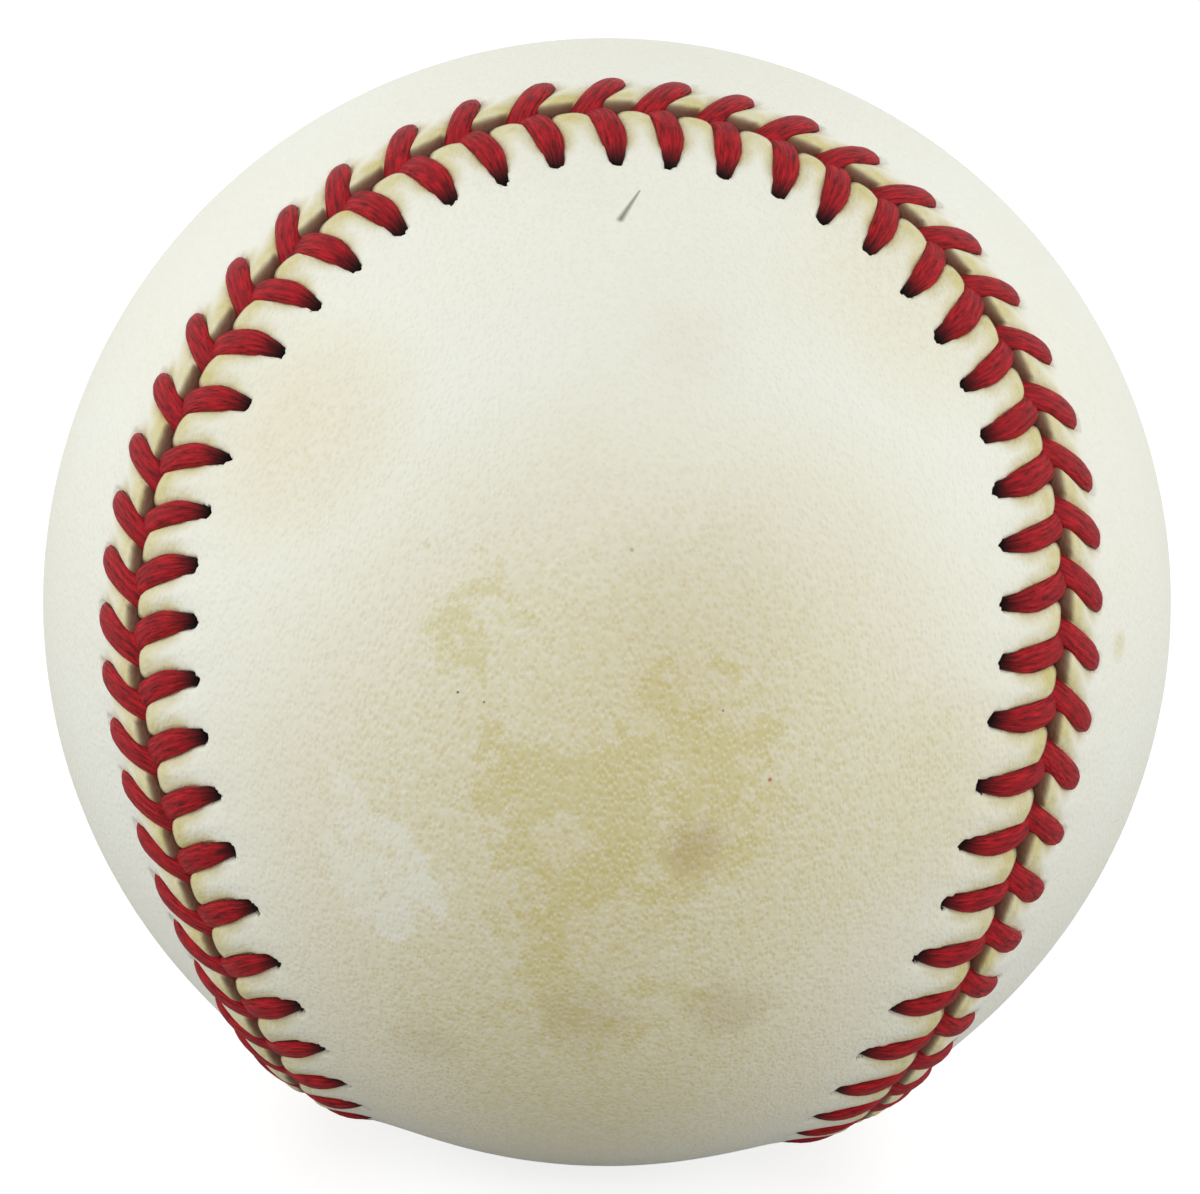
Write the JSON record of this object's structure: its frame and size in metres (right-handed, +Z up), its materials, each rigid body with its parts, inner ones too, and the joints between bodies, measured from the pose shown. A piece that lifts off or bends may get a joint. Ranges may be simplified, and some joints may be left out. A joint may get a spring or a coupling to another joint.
{
  "type": "baseball",
  "caption": "Hand-laced leather ball with a cushioned cork core, wool and cotton windings, and interlocking cover panels joined by raised red stitches.",
  "frame": {"origin": "centre of the ball", "axes": "+Z up through the middle of the upper panel's waist, -Y through the lower panel's front lobe, the one in the picture, +X to its right"},
  "size_m": [0.074, 0.074, 0.074],
  "materials": {
    "cork": "cork granules bound with rubber, matt",
    "black_rubber": "moulded black rubber, matt",
    "red_rubber": "moulded red rubber, matt",
    "grey_wool": "tightly wound wool yarn",
    "white_wool": "tightly wound wool yarn",
    "cotton_yarn": "fine cotton finishing yarn",
    "rubber_cement": "thin dried coat, slightly glossy",
    "cover_leather": "tanned cream-white cowhide, fine grain, satin, aged yellowish in places",
    "waxed_thread": "waxed crimson cotton thread, soft sheen"
  },
  "bodies": {
    "root": {"cork_core": "cork", "inner_rubber_lower": "black_rubber", "inner_rubber_upper": "black_rubber", "rubber_gasket": "red_rubber", "outer_rubber_coat": "red_rubber", "first_wool_winding": "grey_wool", "second_wool_winding": "white_wool", "third_wool_winding": "grey_wool", "cotton_winding": "cotton_yarn", "cement_coat": "rubber_cement", "lower_cover_panel": "cover_leather", "upper_cover_panel": "cover_leather", "first_needle_thread": "waxed_thread", "second_needle_thread": "waxed_thread"}
  },
  "joints": []
}
